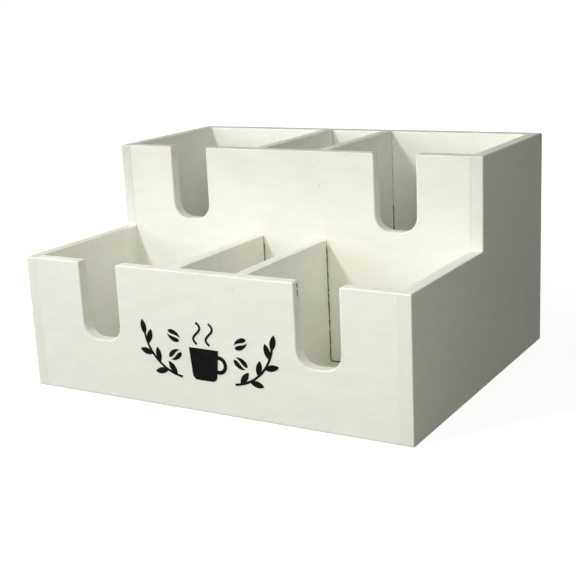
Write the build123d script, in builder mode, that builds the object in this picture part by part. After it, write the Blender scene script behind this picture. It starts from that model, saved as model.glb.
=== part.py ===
from build123d import *
import os

# Coffee station organizer: a painted wooden box in two tiers, a low one in front of a high one.
# Each tier is split into three bays, and its front board has a notch in each of its two wide bays.
# Frame: +X to the right, +Y to the back, +Z up. The origin is the middle of the footprint, on the
# surface that the organizer stands on. All lengths are in millimetres.

# Outside
width = 300.0
depth = 240.0
front_height = 96.0
rear_height = 160.0

# Boards
side_thickness = 9.0
front_thickness = 9.0
tier_thickness = 9.0
back_thickness = 9.0
divider_thickness = 9.0
floor_thickness = 4.0

# Bays
front_bay_depth = 108.0
middle_bay_width = 44.0
divider_gap = 0.8             # left open behind each divider

# Notches
notch_width = 32.0
notch_depth = 55.0
notch_corner_radius = 12.0

# Sanded edges
rim_rounding = 0.9            # rims, notches and the outline of the sides
rim_inner_rounding = 0.5      # inner edge of the sides' rims
corner_over_rim = 0.4         # a side's corners are rounded this much more than its rims
lip_over_rim = 0.6            # and so are the corners where a notch meets the rim
step_corner_radius = 1.5      # the step's inner corner
board_edge_rounding = 0.6     # free edges of the dividers

# Floor, let into a rabbet along the foot of the walls
rabbet_width = 5.0
floor_play = 0.2

# Brads
wall_brad_length = 22.0
floor_brad_length = 14.0
brad_diameter = 1.2
brad_head_diameter = 2.0
brad_head_thickness = 0.7
brad_tip_length = 1.6
brad_tip_diameter = 0.4
brad_play = 0.03              # round a brad, and past its tip
wall_punch_depth = 0.6        # from a wall's surface to the head
floor_punch_depth = 0.25
filler_dish = 0.15            # how far the filler sinks in the middle
brad_to_rim = 7.0             # from the rim to the highest brad in a side
brad_to_ground = 16.0         # from the ground to the lowest brad in a side
front_corner_brad_count = 3
rear_corner_brad_count = 4

# Heights of the brads that hold the dividers, as shares of their own board's height
left_front_brad_height_shares = (0.2, 0.947)
right_front_brad_height_shares = (0.22, 0.908)
tier_brad_height_shares = (0.14, 0.47, 0.845, 0.952)
back_brad_height_shares = (0.16, 0.5, 0.9)
front_brad_drift = 1.6        # how far left of the divider's middle the front brads were driven

# Places of the floor brads, as shares of the board that they hold
floor_side_brad_shares = (0.12, 0.4, 0.86)
floor_divider_brad_shares = (0.25, 0.75)

# Printed motif, as shares of the space between the notches and of the motif itself
motif_thickness = 0.25
motif_width_share = 0.79
motif_shift_share = 0.018
motif_middle_height_share = 0.43
stroke_share = 0.014
mug_outline_shares = ((-0.13, 0.03), (-0.11, -0.17), (0.06, -0.17), (0.08, 0.03))
mug_corner_share = 0.035
handle_place_share = (0.08, -0.06)
handle_outer_share = 0.058
handle_inner_share = 0.034
steam_shares = ((0.0, 0.055), (-0.022, 0.095), (0.022, 0.145), (0.0, 0.19))
steam_spread_shares = (-0.07, 0.02)
stem_shares = ((0.19, -0.165), (0.31, -0.125), (0.41, -0.03), (0.455, 0.085))
leaf_length_share = 0.1
leaf_width_share = 0.04
leaf_place_shares = (0.1, 0.28, 0.46, 0.64, 0.82)
tip_leaf_share = 0.97
leaf_angle = 40.0             # between a leaf and its stem, in degrees
bean_length_share = 0.1
bean_width_share = 0.066
crease_shares = ((-0.06, 0.0), (-0.025, 0.009), (0.025, -0.009), (0.06, 0.0))
bean_place_shares = ((0.24, 0.09), (0.235, -0.03))
bean_angles = (35.0, -25.0)

# Places that several boards share
front_y = -depth / 2
back_y = depth / 2
tier_y = front_y + front_thickness + front_bay_depth
inner_width = width - 2 * side_thickness
outline_corner_radius = rim_rounding + corner_over_rim
notch_lip_radius = rim_rounding + lip_over_rim
divider_x = (middle_bay_width + divider_thickness) / 2
wide_bay_width = (inner_width - middle_bay_width - 2 * divider_thickness) / 2
notch_x = divider_x + (divider_thickness + wide_bay_width) / 2
front_divider_start = front_y + front_thickness
front_divider_end = tier_y - divider_gap
rear_divider_start = tier_y + tier_thickness
rear_divider_end = back_y - back_thickness - divider_gap
front_lip = front_thickness - rabbet_width
back_lip = back_thickness - rabbet_width
side_lip = side_thickness - rabbet_width

# The faces that brads are driven through, each with its axis pointing out of the board
left_face = Plane.left.offset(width / 2)
right_face = Plane.right.offset(width / 2)
front_face = Plane.front.offset(-front_y)
tier_face = Plane.front.offset(-tier_y)
back_face = Plane.back.offset(back_y)
bottom_face = Plane.bottom


def spread(low, high, count):
    """Places at even steps from low to high."""
    return [low + (high - low) * step / (count - 1) for step in range(count)]


def on_face(face, points):
    """Locations on a face, from points given in that face's own two directions."""
    return [face.location * Pos(across, along) for across, along in points]


# Where the brads are driven: through the sides into the three panels between them
front_corner_y = front_y + front_thickness / 2
tier_corner_y = tier_y + tier_thickness / 2
back_corner_y = back_y - back_thickness / 2
front_corner_heights = spread(brad_to_ground, front_height - brad_to_rim, front_corner_brad_count)
rear_corner_heights = spread(brad_to_ground, rear_height - brad_to_rim, rear_corner_brad_count)
side_points = [(front_corner_y, height) for height in front_corner_heights]
side_points += [(tier_corner_y, height) for height in rear_corner_heights]
side_points += [(back_corner_y, height) for height in rear_corner_heights]
left_side_places = on_face(left_face, [(-y, height) for y, height in side_points])
right_side_places = on_face(right_face, side_points)

# Through the front, tier and back panels into the dividers
front_points = [(-divider_x - front_brad_drift, front_height * share)
                for share in left_front_brad_height_shares]
front_points += [(divider_x - front_brad_drift, front_height * share)
                 for share in right_front_brad_height_shares]
front_places = on_face(front_face, front_points)
tier_places = on_face(tier_face, [(x, rear_height * share)
                                  for x in (-divider_x, divider_x)
                                  for share in tier_brad_height_shares])
back_places = on_face(back_face, [(x, rear_height * share)
                                  for x in (-divider_x, divider_x)
                                  for share in back_brad_height_shares])

# From below, through the floor into the walls and dividers
side_ledge_x = width / 2 - side_lip - rabbet_width / 2
front_ledge_y = front_y + front_lip + rabbet_width / 2
back_ledge_y = back_y - back_lip - rabbet_width / 2
floor_points = [(x, front_y + depth * share)
                for x in (-side_ledge_x, side_ledge_x) for share in floor_side_brad_shares]
floor_points += [(x, y) for x in (-notch_x, notch_x)
                 for y in (front_ledge_y, tier_corner_y, back_ledge_y)]
for start, end in ((front_divider_start, front_divider_end), (rear_divider_start, rear_divider_end)):
    floor_points += [(x, start + (end - start) * share)
                     for x in (-divider_x, divider_x) for share in floor_divider_brad_shares]
floor_places = on_face(bottom_face, [(x, -y) for x, y in floor_points])


def bore_for_brads(places, punch_depth, length):
    """Cut the holes that the brads at these places leave in the board being built."""
    with Locations(*places):
        CounterBoreHole(
            radius=brad_diameter / 2 + brad_play,
            counter_bore_radius=brad_head_diameter / 2 + brad_play,
            counter_bore_depth=punch_depth + brad_head_thickness,
            depth=punch_depth + length + brad_play,
        )


def bore_board(wall_places):
    """Cut the holes of the wall brads at these places, and of any floor brads, in a board."""
    bore_for_brads(wall_places, wall_punch_depth, wall_brad_length)
    bore_for_brads(floor_places, floor_punch_depth, floor_brad_length)


# Sides: one stepped board each, with a rabbet for the floor
with BuildPart() as left_side_panel:
    with BuildSketch(Plane.YZ.offset(-width / 2)) as side_outline:
        with BuildLine():
            Polyline(
                (front_y, 0),
                (back_y, 0),
                (back_y, rear_height),
                (tier_y, rear_height),
                (tier_y, front_height),
                (front_y, front_height),
                close=True,
            )
        make_face()
        corners = side_outline.vertices()
        step_corner = corners.sort_by_distance((tier_y, front_height))[0]
        rim_corners = corners.filter_by(lambda corner: corner.Y > 0 and corner is not step_corner)
        fillet(step_corner, radius=step_corner_radius)
        fillet(rim_corners, radius=outline_corner_radius)
    extrude(amount=side_thickness)
    outer_face = left_side_panel.faces().filter_by(Axis.X).sort_by(Axis.X)[0]
    outer_edges = outer_face.outer_wire().edges().filter_by(lambda edge: edge.center().Z > 0)
    fillet(outer_edges, radius=rim_rounding)
    inner_face = left_side_panel.faces().filter_by(Axis.X).sort_by(Axis.X)[-1]
    inner_rims = inner_face.outer_wire().edges().filter_by(
        lambda edge: edge.center().Z >= front_height - step_corner_radius
        and edge.center().Y < back_y - outline_corner_radius
        and edge.center().Y > front_y + outline_corner_radius
    )
    fillet(inner_rims, radius=rim_inner_rounding)
    with BuildSketch(Plane.XY):
        with Locations((-width / 2 + side_lip, front_y + front_lip)):
            Rectangle(rabbet_width, depth - front_lip - back_lip, align=(Align.MIN, Align.MIN))
    extrude(amount=floor_thickness, mode=Mode.SUBTRACT)
    bore_board(left_side_places)

with BuildPart() as right_side_panel:
    mirror(left_side_panel.part, about=Plane.YZ)


def cross_panel(start, thickness, foot, height):
    """A board between the sides, from its front face at start, standing on foot."""
    with BuildPart() as panel:
        with BuildSketch(Plane.XZ.offset(-start)):
            with Locations((0, foot)):
                Rectangle(inner_width, height - foot, align=(Align.CENTER, Align.MIN))
        extrude(amount=-thickness)
    return panel.part


def notched_panel(start, thickness, foot, height):
    """A board between the sides with a notch in front of each wide bay, and rounded rims."""
    with BuildPart() as panel:
        with BuildSketch(Plane.XZ.offset(-start)) as outline:
            with Locations((0, foot)):
                Rectangle(inner_width, height - foot, align=(Align.CENTER, Align.MIN))
            with Locations((-notch_x, height), (notch_x, height)):
                RectangleRounded(notch_width, 2 * notch_depth, notch_corner_radius,
                                 mode=Mode.SUBTRACT)
            lips = outline.vertices().group_by(Axis.Y)[-1].filter_by(
                lambda lip: abs(lip.X) < inner_width / 2 - notch_lip_radius
            )
            fillet(lips, radius=notch_lip_radius)
        extrude(amount=-thickness)
        rims = panel.faces().filter_by(Axis.Y).edges().filter_by(
            lambda edge: edge.center().Z > foot + rim_rounding
            and abs(edge.center().X) < inner_width / 2 - rim_rounding
        )
        fillet(rims, radius=rim_rounding)
    return panel.part


# Front panel
with BuildPart() as front_panel:
    add(notched_panel(front_y, front_thickness, 0, front_height))
    with BuildSketch(Plane.XY):
        with Locations((0, front_y + front_lip)):
            Rectangle(inner_width, rabbet_width, align=(Align.CENTER, Align.MIN))
    extrude(amount=floor_thickness, mode=Mode.SUBTRACT)
    bore_board(front_places + left_side_places + right_side_places)

# Panel between the tiers, standing on the floor
with BuildPart() as tier_panel:
    add(notched_panel(tier_y, tier_thickness, floor_thickness, rear_height))
    bore_board(tier_places + left_side_places + right_side_places)

# Back panel
with BuildPart() as back_panel:
    add(cross_panel(back_y - back_thickness, back_thickness, 0, rear_height))
    back_rims = back_panel.faces().filter_by(Axis.Z).sort_by(Axis.Z)[-1].edges().filter_by(Axis.X)
    fillet(back_rims, radius=rim_rounding)
    with BuildSketch(Plane.XY):
        with Locations((0, back_y - back_lip)):
            Rectangle(inner_width, rabbet_width, align=(Align.CENTER, Align.MAX))
    extrude(amount=floor_thickness, mode=Mode.SUBTRACT)
    bore_board(back_places + left_side_places + right_side_places)


def divider(middle, start, end, height, wall_places):
    """A board that splits a tier, from start to end, with its top flush with the rim."""
    with BuildPart() as board:
        with BuildSketch(Plane.XY.offset(floor_thickness)):
            with Locations((middle, start)):
                Rectangle(divider_thickness, end - start, align=(Align.CENTER, Align.MIN))
        extrude(amount=height - floor_thickness)
        rims = board.faces().sort_by(Axis.Z)[-1].edges().filter_by(Axis.Y)
        free_ends = board.faces().sort_by(Axis.Y)[-1].edges().filter_by(Axis.Z)
        fillet(rims + free_ends, radius=board_edge_rounding)
        bore_board(wall_places)
    return board


# Dividers
front_dividers = {
    side: divider(middle, front_divider_start, front_divider_end, front_height, front_places)
    for side, middle in (("left", -divider_x), ("right", divider_x))
}
rear_dividers = {
    side: divider(middle, rear_divider_start, rear_divider_end, rear_height,
                  tier_places + back_places)
    for side, middle in (("left", -divider_x), ("right", divider_x))
}

# Floor, flush with the foot of the walls
with BuildPart() as floor_panel:
    with BuildSketch(Plane.XY):
        with Locations((-width / 2 + side_lip + floor_play, front_y + front_lip + floor_play)):
            Rectangle(
                width - 2 * side_lip - 2 * floor_play,
                depth - front_lip - back_lip - 2 * floor_play,
                align=(Align.MIN, Align.MIN),
            )
    extrude(amount=floor_thickness)
    bore_for_brads(floor_places, floor_punch_depth, floor_brad_length)


def brad(punch_depth, length):
    """One brad, driven along -Z, its head punch_depth below the surface at zero height."""
    head_foot = -punch_depth - brad_head_thickness
    tip = -punch_depth - length
    with BuildPart() as pin:
        with BuildSketch(Plane.XZ):
            with BuildLine():
                Polyline(
                    (0, -punch_depth),
                    (brad_head_diameter / 2, -punch_depth),
                    (brad_head_diameter / 2, head_foot),
                    (brad_diameter / 2, head_foot),
                    (brad_diameter / 2, tip + brad_tip_length),
                    (brad_tip_diameter / 2, tip),
                    (0, tip),
                    close=True,
                )
            make_face()
        revolve(axis=Axis.Z)
    return pin.part


def filler_dab():
    """The filler over one punched brad, flush at its rim and a little sunk in the middle."""
    with BuildPart() as dab:
        with BuildSketch(Plane.XZ):
            with BuildLine():
                ThreePointArc(
                    (-brad_head_diameter / 2, 0),
                    (0, -filler_dish),
                    (brad_head_diameter / 2, 0),
                )
                Polyline(
                    (brad_head_diameter / 2, 0),
                    (brad_head_diameter / 2, -wall_punch_depth),
                    (-brad_head_diameter / 2, -wall_punch_depth),
                    (-brad_head_diameter / 2, 0),
                )
            make_face()
            split(bisect_by=Plane.YZ, keep=Keep.TOP)
        revolve(axis=Axis.Z)
    return dab.part


def group_at(places, piece):
    """One copy of a small piece at each place."""
    with BuildPart() as group:
        with Locations(*places):
            add(piece)
    return group


wall_brad = brad(wall_punch_depth, wall_brad_length)
floor_brad = brad(floor_punch_depth, floor_brad_length)
dab = filler_dab()

# Brads and filler, one group for each board that they are driven through
fasteners = {
    "left_side_brads": group_at(left_side_places, wall_brad),
    "right_side_brads": group_at(right_side_places, wall_brad),
    "front_panel_brads": group_at(front_places, wall_brad),
    "tier_panel_brads": group_at(tier_places, wall_brad),
    "back_panel_brads": group_at(back_places, wall_brad),
    "floor_brads": group_at(floor_places, floor_brad),
    "left_side_filler": group_at(left_side_places, dab),
    "right_side_filler": group_at(right_side_places, dab),
    "front_panel_filler": group_at(front_places, dab),
    "tier_panel_filler": group_at(tier_places, dab),
    "back_panel_filler": group_at(back_places, dab),
}

# Motif, drawn in shares of its own width
motif_width = 2 * (notch_x - notch_width / 2) * motif_width_share
stroke = motif_width * stroke_share
motif_plane = Plane(
    origin=(motif_width * motif_shift_share, front_y, front_height * motif_middle_height_share),
    x_dir=(1, 0, 0),
    z_dir=(0, -1, 0),
)


def drawn(shares):
    """Points of the motif, from shares of its width."""
    return [(motif_width * across, motif_width * up) for across, up in shares]


def mug_shape():
    """A mug from the side, with its handle on the right."""
    with BuildSketch() as mug:
        with Locations(*drawn([handle_place_share])):
            Circle(motif_width * handle_outer_share)
            Circle(motif_width * handle_inner_share, mode=Mode.SUBTRACT)
        with BuildLine():
            Polyline(*drawn(mug_outline_shares), close=True)
        make_face()
        feet = mug.vertices().group_by(Axis.Y)[0]
        fillet(feet, radius=motif_width * mug_corner_share)
    return mug.sketch


def steam_shape():
    """One curl of steam."""
    with BuildSketch() as steam:
        with BuildLine():
            Spline(*drawn(steam_shares))
        trace(line_width=stroke)
    return steam.sketch


def leaf_shape():
    """A pointed leaf that grows along +X."""
    length = motif_width * leaf_length_share
    half_width = motif_width * leaf_width_share / 2
    with BuildSketch() as leaf:
        with BuildLine():
            ThreePointArc((0, 0), (length / 2, half_width), (length, 0))
            ThreePointArc((length, 0), (length / 2, -half_width), (0, 0))
        make_face()
    return leaf.sketch


def sprig_shape():
    """A stem that rises to the right, with leaves on both sides and one at its tip."""
    leaf = leaf_shape()
    with BuildSketch() as sprig:
        with BuildLine():
            stem = Spline(*drawn(stem_shares))
        trace(line_width=stroke)
        turns = [leaf_angle, -leaf_angle] * len(leaf_place_shares)
        growths = [*zip(leaf_place_shares, turns), (tip_leaf_share, 0)]
        for place, turn in growths:
            spot = stem.position_at(place)
            with Locations(Location((spot.X, spot.Y), stem.tangent_angle_at(place) + turn)):
                add(leaf)
    return sprig.sketch


def bean_shape():
    """A coffee bean, open along the crease down its middle."""
    with BuildSketch() as bean:
        Ellipse(motif_width * bean_length_share / 2, motif_width * bean_width_share / 2)
        with BuildLine():
            Spline(*drawn(crease_shares))
        trace(line_width=stroke, mode=Mode.SUBTRACT)
    return bean.sketch


mug, steam, sprig, bean = mug_shape(), steam_shape(), sprig_shape(), bean_shape()

with BuildPart() as coffee_motif:
    with BuildSketch(motif_plane):
        add(sprig)
        for (across, up), turn in zip(drawn(bean_place_shares), bean_angles):
            with Locations(Location((across, up), turn)):
                add(bean)
        mirror(about=Plane.YZ)
        add(mug)
        with Locations(*drawn([(spread_share, 0) for spread_share in steam_spread_shares])):
            add(steam)
    extrude(amount=motif_thickness)

boards = {
    "left_side_panel": left_side_panel,
    "right_side_panel": right_side_panel,
    "front_panel": front_panel,
    "tier_panel": tier_panel,
    "back_panel": back_panel,
    "front_divider_left": front_dividers["left"],
    "front_divider_right": front_dividers["right"],
    "rear_divider_left": rear_dividers["left"],
    "rear_divider_right": rear_dividers["right"],
    "floor_panel": floor_panel,
    "coffee_motif": coffee_motif,
}

os.makedirs("parts", exist_ok=True)
for name, piece in {**boards, **fasteners}.items():
    piece.part.label = name
    export_step(piece.part, f"parts/{name}.step")
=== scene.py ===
"""Looks of the coffee station organizer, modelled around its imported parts.

The boards are modelled again here with hand-sanded edges, and the paint that gathers in their
inner corners and the filler over their brads are pieces of their own. The brads and the printed
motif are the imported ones, with new materials. Lengths are in metres: +X is to the right, +Y to
the back and +Z up.
"""

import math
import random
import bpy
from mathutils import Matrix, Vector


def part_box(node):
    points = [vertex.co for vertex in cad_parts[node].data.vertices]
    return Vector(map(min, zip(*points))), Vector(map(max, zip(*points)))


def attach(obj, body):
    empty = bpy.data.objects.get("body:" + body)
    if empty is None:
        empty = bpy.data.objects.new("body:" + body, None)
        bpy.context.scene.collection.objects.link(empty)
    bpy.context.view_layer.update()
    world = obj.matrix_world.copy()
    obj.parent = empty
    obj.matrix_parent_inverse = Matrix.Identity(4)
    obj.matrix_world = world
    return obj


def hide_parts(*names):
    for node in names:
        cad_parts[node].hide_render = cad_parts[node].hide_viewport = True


bl_info = {
    "name": "Coffee Station Organizer",
    "version": (1, 0, 0),
    "blender": (4, 5, 0),
    "location": "3D View > Sidebar > Organizer",
    "description": "Models the painted boards of the organizer, paints them and sets the studio",
    "category": "Object",
}

from contextlib import contextmanager

import bmesh
import bpy
from bpy.props import FloatProperty, FloatVectorProperty, PointerProperty
from mathutils import Matrix, Vector

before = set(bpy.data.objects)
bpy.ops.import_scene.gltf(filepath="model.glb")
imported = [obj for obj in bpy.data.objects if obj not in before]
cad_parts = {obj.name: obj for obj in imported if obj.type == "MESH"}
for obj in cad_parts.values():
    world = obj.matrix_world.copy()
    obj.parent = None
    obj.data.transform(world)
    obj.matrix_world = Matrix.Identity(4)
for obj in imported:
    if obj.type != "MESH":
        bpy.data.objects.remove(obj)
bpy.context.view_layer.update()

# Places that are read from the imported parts
side_low, side_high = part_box("right_side_panel")
front_low, front_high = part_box("front_panel")
tier_low, tier_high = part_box("tier_panel")
back_low, back_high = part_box("back_panel")
floor_low, floor_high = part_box("floor_panel")
divider_low, divider_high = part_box("front_divider_right")
bay_middle = (divider_high.x + side_low.x) / 2

AXES = {"X": Vector((1, 0, 0)), "Y": Vector((0, 1, 0)), "Z": Vector((0, 0, 1))}
NEAR = 1e-5                       # places closer together than this are the same
PARALLEL = 0.9999                 # least share of its length that a parallel edge runs along an axis
FLAT = 0.999                      # least reach along an axis of a flat face's normal
SMOOTH_ANGLE = math.radians(40)   # faces that meet more sharply keep their edge
SEAM_ANGLE = math.radians(1)      # faces that meet more flatly are made one
ROUND_SIDES = 24                  # of a brad's bore, and of the filler in it
FILLER_RINGS = 3                  # steps from the filler's rim down to its middle
RIM_DEPTH = 0.003                 # how far down from a board's top its rim reaches
FOOT_DUST_AND_SHADE_HEIGHT = 0.0016         # how high the dust and painted contact shadow climb from the table
STREAK_SWING = 0.012              # how far strokes or clouds lighten and darken the paint
RECESS_REACH = 10                 # how many times its play the floor's recess reaches below it


def length(name, description, default):
    """A size in metres that a user may change."""
    return FloatProperty(name=name, description=description, default=default, min=0.0,
                         subtype="DISTANCE", unit="LENGTH", precision=5)


def share(name, description, default):
    """A share from none to all that a user may change."""
    return FloatProperty(name=name, description=description, default=default, min=0.0, max=1.0,
                         subtype="FACTOR")


def colour(name, description, default):
    """A colour that a user may change."""
    return FloatVectorProperty(name=name, description=description, default=default, size=3,
                               min=0.0, max=1.0, subtype="COLOR")


class OrganizerSizes(bpy.types.PropertyGroup):
    """Sizes of what is cut, sanded and filled in the boards."""

    notch_width: length("Notch Width", "From one side of a notch to the other", 0.032)
    notch_depth: length("Notch Depth", "From the rim down to the foot of a notch", 0.055)
    notch_corner: length("Notch Corner", "Radius of a notch's two lower corners", 0.012)
    notch_lip: length("Notch Lip", "Radius where a notch meets the rim", 0.0015)
    rim_rounding: length("Rim Rounding", "Radius of the sanded rims", 0.0009)
    inner_rounding: length("Inner Rim Rounding", "Radius of the sides' inner rims", 0.0005)
    outline_corner: length("Outline Corner", "Radius of the corners of a side's outline", 0.0013)
    step_corner: length("Step Corner", "Radius of the step's inner corner", 0.0015)
    divider_rounding: length("Divider Rounding", "Radius of a divider's free edges", 0.0006)
    foot_rounding: length("Foot Rounding", "Radius of the edges that stand on the table", 0.0004)
    joint_softening: length("Joint Softening", "Bevel of edges that meet flush", 0.00018)
    sanding_step: length("Sanding Step", "Length of rim that one stroke of sanding shapes", 0.009)
    sanding_drift: length("Sanding Drift", "How far the sanded edges wander", 0.00006)
    floor_play: length("Floor Play", "Room round the floor in its rabbet", 0.0002)
    filler_radius: length("Filler Radius", "Radius of the filler over a brad", 0.001)
    filler_depth: length("Filler Depth", "Thickness of the filler over a brad", 0.0006)
    filler_dish: length("Filler Dish", "How far the filler has sunk in the middle", 0.00015)
    pinhole_radius: length("Pinhole Radius", "Radius of the hole left in some filler", 0.0006)
    corner_paint: length("Corner Paint", "Radius of the paint in an inner corner", 0.0006)
    # Dust and painted shade of the hairline in the left bays' back corners
    corner_dust: length("Corner Dust", "Radius of the dust line in some inner corners", 0.00016)
    # Dirt and painted shadow in the crevice at the foot of each bay's back wall
    foot_dirt_and_shade: length("Foot Dirt And Shade", "Radius of the dirt at the foot of each bay's back wall", 0.0008)
    # The nearly black dirt in the gaps is also their painted shadow, and stands out to widen it
    gap_overfill: length("Gap Overfill", "How far the dirt in a gap stands out of it", 0.00032)
    gap_recess: length("Gap Recess", "How far it lies back in the gap near the rim", 0.0007)


class OrganizerFinish(bpy.types.PropertyGroup):
    """Colours of the organizer, and how strongly its finishes show."""

    paint: colour("Paint", "Ivory paint", (0.864, 0.866, 0.812))
    thick_paint: colour("Thick Paint", "Paint where it dried in thicker patches", (0.878, 0.862, 0.775))
    thin_paint: colour("Thin Paint", "Paint on end grain, and where an edge was rubbed",
                       (0.775, 0.785, 0.712))
    # Partly dust, mostly painted shade of the weaker light that falls on the rims
    rim_dust_and_shade: colour("Rim Dust And Shade", "Dust that settled on the rims", (0.55, 0.56, 0.485))
    # Grime of pores, specks and scuffs, also used for painted shade at the foot, the tier top and in
    # corners
    grime: colour("Grime", "Dust held by corners, pores and specks", (0.20, 0.20, 0.15))
    # Nearly black: old glue and dirt, and painted shadow, in the gaps and crevices
    dirt: colour("Dirt", "Old glue and dirt in the gaps", (0.012, 0.012, 0.009))
    glue_line: colour("Glue Line", "Glue between the plies of a cut edge", (0.42, 0.42, 0.35))
    bare_wood: colour("Bare Wood", "Unpainted board", (0.56, 0.42, 0.26))
    dark_wood: colour("Dark Wood", "Dark lines of unpainted board", (0.33, 0.21, 0.11))
    steel: colour("Steel", "Brads", (0.58, 0.57, 0.55))
    tarnish: colour("Tarnish", "Dull spots on the brads", (0.30, 0.26, 0.22))
    print_black: colour("Print", "Black motif on the front", (0.004, 0.004, 0.0042))
    streaks: share("Streaks", "How strongly the brush strokes show", 0.6)
    mottling: share("Mottling", "How strongly the thick patches show", 0.6)
    cut_ends: share("Cut Ends", "How thin the paint is where a board is cut across its grain", 0.35)
    rubbed_edges: share("Rubbed Edges", "How thin the paint is on the rounded edges", 0.12)
    pores: share("Pores", "How dark the pores of the cut ends are", 0.07)
    ply_lines: share("Ply Lines", "How strongly the glue between the plies shows through", 0.25)
    specks: share("Specks", "How dark the specks under the paint are", 0.3)
    # Dust and painted contact shadow along the foot of the boards
    foot_dust_and_shade: share("Foot Dust And Shade", "How dark the dust is where the boards meet the table", 0.3)


class OrganizerStudio(bpy.types.PropertyGroup):
    """Camera and lights."""

    lens: FloatProperty(name="Lens", description="Focal length of the camera", default=70.93,
                        min=1.0, subtype="DISTANCE_CAMERA")
    camera_place: FloatVectorProperty(
        name="Camera Place", description="Where the camera stands", size=3,
        default=(0.41622, -0.70513, 0.26983), subtype="TRANSLATION", unit="LENGTH")
    camera_turn: FloatProperty(name="Camera Turn", description="Turn to the left, seen from above",
                               default=math.radians(30.865), subtype="ANGLE", unit="ROTATION")
    camera_tilt: FloatProperty(name="Camera Tilt", description="Tilt up from level",
                               default=math.radians(-14.589), subtype="ANGLE", unit="ROTATION")
    camera_roll: FloatProperty(name="Camera Roll", description="Roll to the left",
                               default=math.radians(-2.748), subtype="ANGLE", unit="ROTATION")
    even_light: share("Even Light", "How much the white studio itself lights the organizer", 0.11)
    light_level: FloatProperty(
        name="Light Level", description="How bright the lamps are, all together", default=1.0, min=0.0)


def only(piece):
    """Select one piece alone and make it the active one."""
    bpy.ops.object.select_all(action="DESELECT")
    piece.select_set(True)
    bpy.context.view_layer.objects.active = piece


@contextmanager
def editing(piece, parts):
    """Edit mode on one piece, where parts is the kind that is selected: VERT, EDGE or FACE."""
    only(piece)
    bpy.ops.object.mode_set(mode="EDIT")
    bpy.ops.mesh.select_mode(type=parts)
    yield
    bpy.ops.object.mode_set(mode="OBJECT")


def pick(piece, parts, wanted):
    """Select the edges or faces of the piece in edit mode that are wanted, and nothing else."""
    bpy.ops.mesh.select_all(action="DESELECT")
    mesh = bmesh.from_edit_mesh(piece.data)
    mesh.normal_update()
    for part in getattr(mesh, parts):
        part.select_set(bool(wanted(part)))
    bmesh.update_edit_mesh(piece.data)


def lies_at(part, x=None, y=None, z=None):
    """Whether all of an edge or a face is at the given places along the axes."""
    places = [(axis, place) for axis, place in enumerate((x, y, z)) if place is not None]
    return all(abs(corner.co[axis] - place) < NEAR for corner in part.verts for axis, place in places)


def middle(part):
    """The middle of an edge's or face's corners."""
    return sum((corner.co for corner in part.verts), Vector()) / len(part.verts)


def runs_along(edge, axis):
    """Whether an edge is parallel to an axis."""
    first, second = edge.verts
    run = second.co - first.co
    return abs(run.dot(AXES[axis])) > run.length * PARALLEL


def span(places):
    """The lowest and the highest corner of the box round some places."""
    return Vector(min(values) for values in zip(*places)), Vector(max(values) for values in zip(*places))


def corners_of(piece):
    """The places of a piece's corners."""
    return [corner.co for corner in piece.data.vertices]


def new_piece(add, material, **settings):
    """One of Blender's primitives, selected alone."""
    bpy.ops.object.select_all(action="DESELECT")
    add(**settings)
    piece = bpy.context.object
    piece.data.materials.append(material)
    return piece


def settled(piece):
    """The piece, with its place, turn and size moved into its mesh."""
    only(piece)
    bpy.ops.object.transform_apply(location=True, rotation=True, scale=True)
    return piece


def box_piece(name, low, high, material):
    """A box between two corners."""
    box = settled(new_piece(bpy.ops.mesh.primitive_cube_add, material,
                            size=1, location=(low + high) / 2, scale=high - low))
    box.name = name
    return box


def slice_at(axis, place):
    """Cut the piece in edit mode across an axis, and keep both halves."""
    bpy.ops.mesh.select_all(action="SELECT")
    bpy.ops.mesh.bisect(plane_co=AXES[axis] * place, plane_no=AXES[axis])


def round_edges(piece, wanted, radius, segments=3):
    """Round the wanted edges of a piece."""
    with editing(piece, "EDGE"):
        pick(piece, "edges", wanted)
        bpy.ops.mesh.bevel(offset=radius, segments=segments, profile=0.5, affect="EDGES")


def join(pieces, name):
    """Make one piece of several."""
    only(pieces[0])
    for piece in pieces:
        piece.select_set(True)
    if len(pieces) > 1:
        bpy.ops.object.join()
    joined = bpy.context.object
    joined.name = name
    return joined


def cut_away(board, cutter):
    """Take a cutter's shape out of a board. The cut faces get the cutter's material."""
    only(board)
    cut = board.modifiers.new("cut", "BOOLEAN")
    cut.object = cutter
    cut.operation = "DIFFERENCE"
    cut.solver = "EXACT"
    cut.use_self = True
    cut.material_mode = "TRANSFER"
    bpy.ops.object.modifier_apply(modifier=cut.name)
    bpy.data.objects.remove(cutter)


def sand_by_hand(board, axis, seed):
    """Let the rounded edges wander a little, stroke by stroke along the board."""
    sizes = bpy.context.scene.organizer_sizes
    start, end = (corner.dot(AXES[axis]) for corner in span(corners_of(board)))
    strokes = round((end - start) / sizes.sanding_step)
    with editing(board, "FACE"):
        for stroke in range(1, strokes):
            slice_at(axis, start + (end - start) * stroke / strokes)
        pick(board, "faces", lambda face: max(abs(value) for value in face.normal) < FLAT)
        bpy.ops.transform.vertex_random(
            offset=sizes.sanding_drift, uniform=0.0, normal=0.0, seed=seed)


def keep_inside(board, node):
    """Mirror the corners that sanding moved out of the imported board's box back into it."""
    low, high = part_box(node)
    for corner in board.data.vertices:
        corner.co = Vector(most - abs(most - least - abs(value - least))
                           for value, least, most in zip(corner.co, low, high))


def smooth(piece):
    """Smooth the roundings of a piece, and keep its flat faces flat."""
    only(piece)
    bpy.ops.object.shade_smooth_by_angle(angle=SMOOTH_ANGLE)
    normals = piece.modifiers.new("normals", "WEIGHTED_NORMAL")
    normals.keep_sharp = True
    bpy.ops.object.modifier_apply(modifier=normals.name)


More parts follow.
